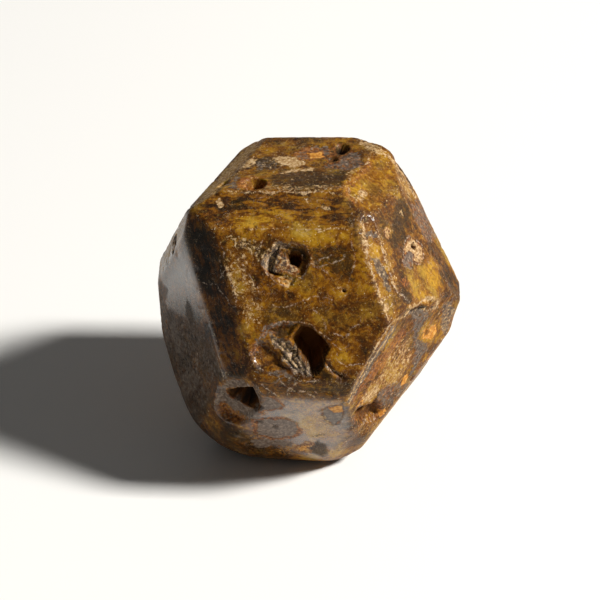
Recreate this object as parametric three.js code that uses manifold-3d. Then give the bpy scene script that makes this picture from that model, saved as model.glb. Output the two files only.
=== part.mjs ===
// Garnet crystal. A rhombic dodecahedron with its edges bevelled by trapezohedron faces, grown a
// little out of true, with a broken scar where a neighbour once stood, worn edges and open pits.
// Millimetres and degrees, +Z up. It stands on its base face, with the origin on the ground under
// the middle of its box. It is one solid, because the crystal grew as one piece.

import * as THREE from 'three';
import { ConvexGeometry } from 'three/addons/geometries/ConvexGeometry.js';
import { mergeVertices } from 'three/addons/utils/BufferGeometryUtils.js';
import Module from 'manifold-3d';

// ---- Driving dimensions -------------------------------------------------------------------------

// The twelve dodecahedron faces. index is the face's crystal index. azimuth and elevation give the
// way it faces (0 is +X, 90 is +Y), and distance is how far it grew from the crystal's heart.
const FACES = {
  front:     { index: [1, 1, 0],   azimuth: -90,    elevation: 30.5,  distance: 10.9 },
  top:       { index: [0, 1, -1],  azimuth: 150,    elevation: 89.3,  distance: 12.3 },
  under:     { index: [1, 0, 1],   azimuth: -92,    elevation: -27,   distance: 13.3 },
  left:      { index: [0, 1, 1],   azimuth: -145.5, elevation: 2.5,   distance: 11.7 },
  right:     { index: [1, 0, -1],  azimuth: -21,    elevation: 30,    distance: 12.3 },
  rightLow:  { index: [1, -1, 0],  azimuth: -20,    elevation: -31,   distance: 12.4 },
  leftHigh:  { index: [-1, 1, 0],  azimuth: 163,    elevation: 32,    distance: 12.4 },
  base:      { index: [0, -1, 1],  azimuth: 0,      elevation: -90,   distance: 13.8 },
  backHigh:  { index: [-1, 0, -1], azimuth: 90,     elevation: 30,    distance: 12.3 },
  backRight: { index: [0, -1, -1], azimuth: 39,     elevation: 11,    distance: 11.8 },
  leftLow:   { index: [-1, 0, 1],  azimuth: 159.5,  elevation: -26.5, distance: 12.6 },
  backLow:   { index: [-1, -1, 0], azimuth: 90,     elevation: -30,   distance: 11.8 },
};

// The scar of a neighbouring crystal lies across the right low side, off the crystal's own angles.
const SCAR = { azimuth: -34, elevation: -14, distance: 11.7 };

// Each edge between two dodecahedron faces has a trapezohedron bevel. lean 0 faces the way the
// first face does and lean 1 the way the second does. cut is the depth taken off the edge.
const USUAL_BEVEL = { lean: 0.5, cut: 0.8 };
const BEVELS = {
  'front top':          { lean: 0.4,  cut: 1 },
  'front under':        { lean: 0.36, cut: 0.43 },
  'front left':         { lean: 0.49, cut: 0.93 },
  'front right':        { lean: 0.6,  cut: 0.57 },
  'top right':          { lean: 0.46, cut: 1.1 },
  'top backHigh':       { lean: 0.5,  cut: 0.35 },
  'under left':         { lean: 0.5,  cut: 0.95 },
  'under base':         { lean: 0.5,  cut: 0.6 },
  'left leftHigh':      { lean: 0.41, cut: 0.5 },
  'left leftLow':       { lean: 0.5,  cut: 0.2 },
  'right backRight':    { lean: 0.4,  cut: 1.45 },
  'rightLow backRight': { lean: 0.38, cut: 1.5 },
  'leftHigh backHigh':  { lean: 0.5,  cut: 0.55 },
  'leftHigh leftLow':   { lean: 0.6,  cut: 2 },
  'backHigh backRight': { lean: 0.6,  cut: 1.75 },
};

// How deep wear has taken the sharp edges and corners down.
const EDGE_WEAR = 0.02;
const CORNER_WEAR = 0.07;

// Pits etched or left open in the faces. middle is to the right of the heart and up, in the face's
// own plane, half is half the width and half the height of the mouth before it is turned, and floor
// is the size of the pit's floor against its mouth.
const PITS = [
  // the cup with a small cube crystal in it, and its open hole
  { face: 'front', middle: [-0.8, 2.2], half: [1.8, 1.8], turn: 20, depth: 0.4, floor: 0.75 },
  { face: 'front', middle: [0, 2.8], half: [0.85, 0.75], turn: 10, depth: 1.8, floor: 0.6 },
  // the broken ledge beside the great hole, and the great hole
  { face: 'front', middle: [-1.1, -4.4], half: [2.4, 1.3], turn: -42, depth: 0.6, floor: 0.6 },
  { face: 'front', middle: [1.2, -5], half: [1.45, 2.4], turn: 17, depth: 2.6, floor: 0.55 },
  // the worn hollow on the left under edge, and its hole
  { face: 'under', middle: [-4.5, 3], half: [2.2, 3.2], turn: -15, depth: 0.55, floor: 0.7 },
  { face: 'under', middle: [-4.1, 3.1], half: [1.1, 2.1], turn: 33, depth: 2.2, floor: 0.5 },
  // shallow ovals on the under face
  { face: 'under', middle: [-1.5, -1.6], half: [1.9, 1.4], turn: 10, depth: 0.25, floor: 0.75 },
  { face: 'under', middle: [-1.6, 2.7], half: [1, 1.2], turn: 0, depth: 0.25, floor: 0.75 },
  { face: 'under', middle: [3.4, 0.9], half: [1.1, 1.3], turn: 0, depth: 0.25, floor: 0.7 },
  // holes in the top
  { face: 'top', middle: [-3.8, -2.6], half: [1.15, 1.05], turn: 0, depth: 0.9, floor: 0.5 },
  { face: 'top', middle: [-6.3, -1.7], half: [0.7, 0.8], turn: 0, depth: 0.7, floor: 0.5 },
  { face: 'top', middle: [3.3, 4.1], half: [0.75, 0.85], turn: 0, depth: 0.9, floor: 0.5 },
  { face: 'top', middle: [2.8, 2.3], half: [0.5, 0.6], turn: 0, depth: 0.6, floor: 0.5 },
  // the small hole in the pale oval on the right, and the hole in the scar
  { face: 'right', middle: [0.4, 0.2], half: [0.35, 0.3], turn: 0, depth: 0.5, floor: 0.5 },
  { face: 'scar', middle: [-5.2, -3.3], half: [0.75, 0.85], turn: 0, depth: 0.8, floor: 0.5 },
];
const PIT_SIDES = 9;
const MOUTH_CLEARANCE = 0.6; // how far a pit's cutter stands out of the face

const MATERIAL = { color: 0x6b4a12, roughness: 0.3, metalness: 0 };

// ---- Small limits used when planes meet ----------------------------------------------------------

const TOUCHING = 1e-5; // millimetres
const PARALLEL = 1e-4; // determinant under which three planes have no clear meeting point
const NEAR_VERTICAL = 0.99;

// ---- Planes ---------------------------------------------------------------------------------------

function facing({ azimuth, elevation }) {
  const turn = THREE.MathUtils.degToRad(azimuth);
  const rise = THREE.MathUtils.degToRad(elevation);
  return new THREE.Vector3(Math.cos(turn) * Math.cos(rise), Math.sin(turn) * Math.cos(rise), Math.sin(rise));
}

function facePlane(face) {
  return new THREE.Plane(facing(face), -face.distance);
}

// The plane through a point, facing halfway between the given planes, moved in by a depth.
function blendedPlane(planes, point, depth) {
  const normal = new THREE.Vector3();
  planes.forEach((plane) => normal.add(plane.normal));
  normal.normalize();
  return new THREE.Plane(normal, depth - normal.dot(point));
}

function pairsOf(items) {
  return items.flatMap((first, i) => items.slice(i + 1).map((second) => [first, second]));
}

// Two dodecahedron faces are neighbours where their indices have a product of 1.
function areNeighbours(first, second) {
  const product = first.index.reduce((sum, value, axis) => sum + value * second.index[axis], 0);
  return product === 1;
}

// A bevel's plane is the weighted sum of its two faces' planes, moved in by its cut.
function bevelPlane(first, second, { lean, cut }) {
  const normal = facing(first).multiplyScalar(1 - lean).addScaledVector(facing(second), lean);
  const reach = first.distance * (1 - lean) + second.distance * lean;
  const length = normal.length();
  return new THREE.Plane(normal.divideScalar(length), cut - reach / length);
}

function bevelPlanes() {
  return pairsOf(Object.keys(FACES))
    .filter(([first, second]) => areNeighbours(FACES[first], FACES[second]))
    .map(([first, second]) => {
      const bevel = BEVELS[`${first} ${second}`] ?? USUAL_BEVEL;
      return bevelPlane(FACES[first], FACES[second], bevel);
    });
}

// ---- Corners --------------------------------------------------------------------------------------

function isOn(plane, point) {
  return Math.abs(plane.distanceToPoint(point)) < TOUCHING;
}

function meetingPoint(a, b, c) {
  const matrix = new THREE.Matrix3().set(
    a.normal.x, a.normal.y, a.normal.z,
    b.normal.x, b.normal.y, b.normal.z,
    c.normal.x, c.normal.y, c.normal.z,
  );
  if (Math.abs(matrix.determinant()) < PARALLEL) return null;
  return new THREE.Vector3(-a.constant, -b.constant, -c.constant).applyMatrix3(matrix.invert());
}

// Every point where three planes meet and no other plane cuts it off.
function cornersOf(planes) {
  const corners = [];
  for (const [i, a] of planes.entries()) {
    for (const [j, b] of planes.slice(i + 1).entries()) {
      for (const c of planes.slice(i + j + 2)) {
        const point = meetingPoint(a, b, c);
        if (!point || planes.some((plane) => plane.distanceToPoint(point) > TOUCHING)) continue;
        if (corners.some((corner) => corner.distanceTo(point) < TOUCHING)) continue;
        corners.push(point);
      }
    }
  }
  return corners;
}

// One plane along each edge and one across each corner of the solid that the planes bound.
function wearPlanes(planes) {
  const corners = cornersOf(planes);
  const edges = pairsOf(planes)
    .map((pair) => ({ pair, ends: corners.filter((corner) => pair.every((plane) => isOn(plane, corner))) }))
    .filter(({ ends }) => ends.length === 2)
    .map(({ pair, ends }) => blendedPlane(pair, ends[0], EDGE_WEAR));
  const points = corners.map((corner) => {
    const meeting = planes.filter((plane) => isOn(plane, corner));
    return blendedPlane(meeting, corner, CORNER_WEAR);
  });
  return [...edges, ...points];
}

// ---- Solids ---------------------------------------------------------------------------------------

// A face's own frame, seen from outside: right, up and outwards, from the foot of its distance.
function faceFrame(face) {
  const outwards = facing(face);
  const steep = Math.abs(outwards.z) > NEAR_VERTICAL;
  const right = steep ? new THREE.Vector3(1, 0, 0) : new THREE.Vector3(0, 0, 1).cross(outwards);
  right.addScaledVector(outwards, -right.dot(outwards)).normalize();
  const up = new THREE.Vector3().crossVectors(outwards, right);
  return new THREE.Matrix4()
    .makeBasis(right, up, outwards)
    .setPosition(outwards.clone().multiplyScalar(face.distance));
}

// A pit's cutter narrows from its mouth to its floor, and goes on widening out past the face.
function pitCutter({ face, middle, half, turn, depth, floor }) {
  const growth = (1 - floor) / depth;
  const levels = [
    { height: MOUTH_CLEARANCE, size: 1 + growth * MOUTH_CLEARANCE },
    { height: -depth, size: floor },
  ];
  const outline = new THREE.EllipseCurve(
    0, 0, half[0], half[1], 0, 2 * Math.PI, false, 0,
  ).getPoints(PIT_SIDES).slice(0, PIT_SIDES);
  const angle = THREE.MathUtils.degToRad(turn);
  const points = levels.flatMap(({ height, size }) => outline.map((point) => {
    const turned = point.clone().multiplyScalar(size).rotateAround(new THREE.Vector2(), angle);
    return new THREE.Vector3(turned.x + middle[0], turned.y + middle[1], height);
  }));
  const frame = faceFrame(face === 'scar' ? SCAR : FACES[face]);
  return new ConvexGeometry(points).applyMatrix4(frame);
}

function toSolid(wasm, geometry) {
  const bare = geometry.clone();
  bare.deleteAttribute('normal');
  bare.deleteAttribute('uv');
  const merged = mergeVertices(bare);
  return new wasm.Manifold(new wasm.Mesh({
    numProp: 3,
    vertProperties: Float32Array.from(merged.attributes.position.array),
    triVerts: Uint32Array.from(merged.index.array),
  }));
}

function toGeometry(solid) {
  const { vertProperties, triVerts } = solid.getMesh();
  const geometry = new THREE.BufferGeometry();
  geometry.setAttribute('position', new THREE.BufferAttribute(vertProperties, 3));
  geometry.setIndex(new THREE.BufferAttribute(triVerts, 1));
  geometry.computeVertexNormals();
  return geometry;
}

function crystalGeometry(wasm) {
  const grown = [...Object.values(FACES).map(facePlane), ...bevelPlanes(), facePlane(SCAR)];
  const worn = new ConvexGeometry(cornersOf([...grown, ...wearPlanes(grown)]));
  const pitted = PITS.reduce(
    (solid, pit) => solid.subtract(toSolid(wasm, pitCutter(pit))),
    toSolid(wasm, worn),
  );
  return toGeometry(pitted);
}

function garnetCrystal(wasm) {
  const geometry = crystalGeometry(wasm);
  geometry.computeBoundingBox();
  const { min, max } = geometry.boundingBox;
  const crystal = new THREE.Mesh(geometry, new THREE.MeshStandardMaterial({ ...MATERIAL, flatShading: true }));
  crystal.name = 'garnet_crystal';
  crystal.position.set(-(min.x + max.x) / 2, -(min.y + max.y) / 2, -min.z);
  return crystal;
}

const wasm = await Module();
wasm.setup();

const part = new THREE.Group();
part.add(garnetCrystal(wasm));
export default part;
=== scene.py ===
"""Garnet crystal: the visible surface, its stone and the plain studio round it.

The crystal is one closed surface. Rays leave its heart in every direction, as a grid of two
parameters on each of six panels, and each ray stops where the crystal's field is zero. The field is
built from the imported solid's own planes, so every face lies where the solid has it.
"""

import bpy
import numpy as np
from mathutils import Matrix, Vector


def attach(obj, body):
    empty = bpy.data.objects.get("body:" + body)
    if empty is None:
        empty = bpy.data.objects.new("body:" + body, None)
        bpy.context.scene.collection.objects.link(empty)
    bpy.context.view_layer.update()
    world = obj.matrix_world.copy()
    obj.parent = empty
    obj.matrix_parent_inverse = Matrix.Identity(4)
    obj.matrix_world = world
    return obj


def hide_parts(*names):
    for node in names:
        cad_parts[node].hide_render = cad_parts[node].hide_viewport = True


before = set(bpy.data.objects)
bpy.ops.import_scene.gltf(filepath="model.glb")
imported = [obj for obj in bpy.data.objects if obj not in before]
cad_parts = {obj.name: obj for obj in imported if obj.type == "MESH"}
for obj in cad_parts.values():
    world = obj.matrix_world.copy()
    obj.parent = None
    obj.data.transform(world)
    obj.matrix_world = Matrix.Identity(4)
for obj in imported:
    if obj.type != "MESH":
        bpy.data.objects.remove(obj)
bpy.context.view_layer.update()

# ---- The crystal and its faces ---------------------------------------------------------------------

MM = 0.001
CRYSTAL = "garnet_crystal"
HEART = np.array([-0.201, 0.255, 13.8])  # millimetres, the point every face grew from

# Roughly where each named face looks: azimuth (0 is +X, 90 is +Y) and elevation in degrees. A name
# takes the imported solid's plane that looks nearest that way, at that plane's own angle and distance.
FACES = {
    "front": (-90, 30.5),
    "top": (150, 89.3),
    "under": (-92, -27),
    "left": (-145.5, 2.5),
    "right": (-21, 30),
    "scar": (-34, -14),
    "front top": (-90, 54),
    "front under": (-91, 10.5),
    "front left": (-119.5, 19),
    "front right": (-47, 35),
    "top right": (-21, 62.5),
    "under left": (-121, -13),
    "left high": (-164, 16),
    "right back": (4.5, 25.5),
    "top left": (163, 62),
    "right low": (-20, -31),
    "back left": (163, 32),
    "back high": (90, 30),
    "back right": (39, 11),
    "back low": (90, -30),
    "left low": (159.5, -26.5),
    "base": (0, -90),
}

# What each face is like. gold: how light its body colour is. dark, pale, grey, rust: how much of it
# is stained, crusted or holds other minerals. rough: how matt it is. gloss: how much of a glassy
# skin it has. streak: how far its marks are drawn out, along a line that lies this many degrees
# (turn) from the face's own right. relief: how uneven it is, in millimetres.
QUALITIES = ("gold", "dark", "pale", "grey", "rust", "rough", "gloss", "streak", "turn", "relief")
LOOKS = {
    "front": (0.44, 0.25, 0.14, 0.05, 0.12, 0.45, 0.02, 0.06, 0, 0.03),
    "top": (0.50, 0.36, 0.30, 0.14, 0.14, 0.50, 0.03, 0.30, 3, 0.08),
    "under": (0.50, 0.28, 0.06, 0.10, 0.12, 0.28, 1.00, 0.15, 37, 0.01),
    "left": (0.34, 0.30, 0.03, 0.10, 0.02, 0.30, 1.00, 0.00, -60, 0.005),
    "right": (0.44, 0.26, 0.05, 0.02, 0.10, 0.50, 0.00, 0.12, 74, 0.05),
    "scar": (0.54, 0.28, 0.28, 0.28, 0.34, 0.60, 0.00, 0.35, 50, 0.20),
    "front top": (0.34, 0.38, 0.11, 0.03, 0.14, 0.50, 0.00, 0.80, 0, 0.05),
    "front under": (0.10, 0.68, 0.12, 0.30, 0.12, 0.42, 0.06, 0.80, 0, 0.08),
    "front left": (0.15, 0.32, 0.05, 0.03, 0.20, 0.50, 0.02, 0.60, -62, 0.02),
    "front right": (0.66, 0.18, 0.40, 0.26, 0.28, 0.80, 0.00, 0.25, 73, 0.24),
    "top right": (0.71, 0.08, 0.20, 0.02, 0.18, 0.60, 0.00, 0.20, 10, 0.16),
    "under left": (0.36, 0.42, 0.06, 0.14, 0.12, 0.35, 0.40, 0.30, 60, 0.05),
    "left high": (0.56, 0.04, 0.74, 0.10, 0.26, 0.30, 1.00, 0.00, 60, 0.005),
    "right back": (0.36, 0.40, 0.20, 0.18, 0.26, 0.80, 0.00, 0.30, 83, 0.14),
    # Painted light: the top left face's high gold and pale stand in for a bright rim reflection along the
    # silhouette.
    "top left": (0.84, 0.10, 0.62, 0.04, 0.10, 0.60, 0.00, 0.40, 80, 0.07),
    "right low": (0.74, 0.08, 0.32, 0.06, 0.16, 0.50, 0.10, 0.30, 20, 0.06),
    "base": (0.40, 0.36, 0.15, 0.20, 0.10, 0.40, 0.10, 0.20, 0, 0.0),
}
OTHER_LOOK = (0.48, 0.32, 0.18, 0.12, 0.18, 0.50, 0.05, 0.40, 0, 0.06)
POINT_QUALITIES = QUALITIES[:8]  # all that the material reads, so not turn and relief
PATCH_QUALITIES = ("orange", "shade")  # only patches set these: an orange mineral, and the painted shade that blackens a deep pit


def turned(points, degrees):
    """Flat points turned back by an angle: (x cos a + y sin a, y cos a - x sin a)."""
    a = np.radians(degrees)
    return points @ np.array([[np.cos(a), -np.sin(a)], [np.sin(a), np.cos(a)]])


def oval(middle, half, turn=0, sides=20):
    """An outline on an ellipse: (a cos t, b sin t) turned and moved to its middle."""
    t = np.arange(sides) * 2 * np.pi / sides
    ring = np.stack([half[0] * np.cos(t), half[1] * np.sin(t)], axis=1)
    return turned(ring, -turn) + middle


def band(points, half):
    """An outline along an open line: each point moved to one side by half the width, and back along
    the other side."""
    points = np.array(points, float)
    along = np.gradient(points, axis=0)
    side = np.stack([-along[:, 1], along[:, 0]], axis=1) * (half / np.hypot(*along.T))[:, None]
    return np.concatenate([points + side, (points - side)[::-1]])


def closed(outline):
    """An outline as a line that ends where it starts."""
    return outline + outline[:1]


# Outlines on the faces, in millimetres to the right of the heart and up, in the face's own frame.
CUP = [(-2.8, 2.1), (-2.5, 3.2), (-1.6, 4.1), (-0.4, 4.3), (0.7, 4.0), (1.3, 3.1), (1.2, 1.9), (0.6, 1.1),
       (-0.8, 1.15), (-1.7, 1.1), (-2.5, 1.4)]
CUP_HOLE = [(-0.8, 3.3), (-0.2, 3.5), (0.5, 3.2), (0.6, 2.5), (0.3, 1.9), (-0.1, 2.0), (-0.6, 2.2),
            (-0.7, 2.9)]
CUP_RING = [(-2.9, 2.0), (-2.6, 3.2), (-1.7, 4.1), (-0.4, 4.4), (-0.9, 3.6), (-1.5, 3.2), (-1.9, 1.5)]
CUP_CHIPS = [(-1.6, 1.2), (-0.8, 1.3), (0.2, 1.0), (-0.2, 0.5), (-0.7, 0.4), (-1.4, 0.8)]
CUBE_TOP = [(-1.9, 1.9), (-1.2, 3.5), (-0.6, 3.0), (-0.5, 2.4), (0.1, 2.2), (0.0, 1.3)]
GREAT_HOLE = [(0.6, -2.9), (1.4, -3.1), (2.4, -4.0), (3.1, -4.8), (2.6, -5.7), (2.6, -6.4), (2.1, -7.0),
              (1.5, -7.4), (1.0, -6.3), (0.2, -5.3), (-0.4, -4.2)]
SIDE_HOLE = oval((-0.1, -5.35), (0.42, 0.34))
LEDGE = [(-2.2, -3.9), (-1.6, -4.1), (-0.5, -4.2), (0.2, -5.3), (1.0, -6.3), (1.5, -7.4), (1.0, -7.5),
         (0.1, -7.1), (-0.9, -6.1), (-1.1, -5.3), (-2.0, -4.5)]
SCOOP = [(-3.7, -6.2), (-4.0, -5.1), (-3.4, -4.3), (-2.3, -4.2), (-1.2, -5.3), (-0.9, -6.2), (0.0, -7.1),
         (-1.9, -6.7), (-3.1, -6.9)]
UPPER_SCOOP = [(-2.6, -3.6), (-1.1, -2.7), (0.5, -2.7), (-0.5, -4.0), (-1.5, -4.0)]
SCOOP_RIM = [(-4.1, -5.6), (-3.7, -4.4), (-2.5, -3.1), (-1.1, -2.5), (0.6, -2.6), (-0.2, -3.2),
             (-1.4, -3.2), (-2.6, -4.1), (-3.3, -5.5)]
SLIVER = [(2.6, -5.9), (3.0, -6.1), (3.4, -6.7), (4.2, -7.2), (4.4, -7.6), (3.8, -7.4), (3.2, -7.0),
          (2.9, -6.5)]
AMBER_STRIPE = [(4.9, 5.3), (5.6, 5.0), (6.5, 1.5), (7.4, -0.5), (6.4, -4.5), (5.2, -2.0), (5.6, 1.0),
                (4.9, 3.5)]
HOLLOW = [(-1.5, -1.6), (-0.8, 0.1), (0.8, 1.7), (2.6, 2.5), (3.9, 1.9), (4.4, 1.0), (4.5, -0.1),
          (3.7, -1.8), (2.4, -3.3), (0.4, -4.3), (-1.0, -3.8), (-1.8, -3.0)]
HOLLOW_HOLE = [(-0.1, -1.0), (1.3, 0.1), (3.2, 0.9), (3.4, 0.3), (3.5, -0.5), (3.9, -1.4), (3.0, -2.0),
               (2.0, -1.9), (0.9, -1.7), (-0.1, -1.4)]
HOLLOW_GROOVE = [(-1.7, -3.1), (-1.5, -4.1), (-0.7, -4.6), (0.8, -4.4), (2.5, -3.5), (2.4, -3.0),
                 (1.1, -3.5), (0.1, -3.3), (-0.4, -2.8), (-0.9, -2.2)]
HOLLOW_UNDER = [(-6.7, 3.8), (-6.2, 5.8), (-3.9, 7.3), (-2.8, 5.8), (-2.3, 2.7), (-2.8, 0.7), (-3.8, -0.6),
                (-5.3, -0.9), (-6.9, 1.6)]
CHIPPED_EDGE = [(-6.3, -2.7), (-5.0, -3.2), (-3.4, -3.5), (-1.1, -3.9), (-0.6, -5.0), (0.9, -6.0),
                (3.4, -6.3), (3.0, -9.0), (-7.0, -9.0)]
CHIP_POCKET = [(-1.6, 6.1), (-0.3, 5.6), (0.9, 5.3), (1.7, 4.5), (-0.1, 4.1)]
SCAR_MIDDLE = [(-1.7, 2.6), (-0.4, 2.4), (0.4, 0.3), (0.6, -1.0), (-0.4, -2.4), (-2.5, -2.2), (-4.4, -2.8),
               (-6.3, -2.2), (-5.6, -0.5), (-3.4, 0.1), (-3.1, 2.1)]
SCAR_ARM = [(-0.4, 4.1), (1.5, 4.5), (2.7, 3.2), (1.2, 2.4), (1.0, 1.4), (2.7, -0.1), (3.8, -1.7),
            (2.4, -1.6), (2.0, -2.8), (0.8, -3.3), (1.3, -1.9), (0.7, 1.3)]
SCAR_PIT = [(-7.0, -2.6), (-6.2, -2.5), (-4.3, -3.2), (-3.6, -2.8), (-3.0, -3.7), (-1.9, -5.5),
            (-2.6, -6.2), (-5.1, -5.1), (-6.1, -4.6), (-6.6, -3.6)]
SCAR_ORANGE = [(1.4, 1.9), (2.1, 2.1), (3.8, 1.5), (4.2, 0.0), (2.9, 0.0)]
GREAT_OVAL = [(-3.5, -0.2), (-2.5, 0.1), (-0.5, 0.0), (0.4, -0.6), (0.1, -2.0), (-0.5, -3.1), (-1.7, -3.6),
              (-2.9, -3.3), (-3.7, -3.1)]
SECOND_OVAL = [(-2.5, 3.5), (-1.5, 3.9), (-0.9, 3.2), (-0.7, 2.2), (-1.3, 1.6), (-2.6, 0.9), (-3.0, 1.5)]
THIRD_OVAL = [(2.4, 1.5), (3.4, 2.5), (4.7, 3.0), (4.6, 1.3), (4.1, -0.5), (3.3, -0.7), (2.7, 0.0)]
INCLUSION = [(-0.1, 1.5), (0.7, 1.4), (1.3, 0.9), (1.7, 0.0), (1.3, -0.8), (0.0, -1.2), (-0.8, -0.4),
             (-1.7, -0.9), (-2.2, -0.4), (-2.1, 0.2), (-1.0, 0.9)]
SQUIGGLE = band([(-0.4, 2.9), (0.2, 4.1), (0.6, 3.6), (0.3, 2.4)], 0.20)
UNDER_VEINS = [
    [(-4.3, -3.1), (-3.3, -3.6), (-2.2, -4.3), (-1.3, -5.0), (-0.9, -5.2)],
    [(-2.2, -2.5), (-1.4, -3.2), (-0.7, -3.8), (-0.3, -4.3), (-0.4, -5.0)],
    [(-0.5, -4.5), (0.3, -3.8), (1.6, -3.5), (2.8, -3.5)],
    [(-0.3, -4.5), (1.0, -4.6), (2.0, -5.2), (2.7, -5.3)],
]
# Painted highlight: a pale line along the upper edge of the front top face.
TOP_EDGE_HIGHLIGHT = [(-7.7, 4.2), (-3.7, 4.1), (-0.4, 4.1), (4.9, 4.1)]
BRIGHT_RIDGE = [(6.1, 3.3), (6.1, 0.9), (5.6, -0.9), (4.2, -2.8), (2.9, -4.3)]
TOP_STAIN = [(-0.2, 4.4), (2.4, 4.9), (5.0, 3.4), (5.8, 1.0), (4.4, -0.3), (2.1, 0.5), (2.3, 2.1)]
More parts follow.
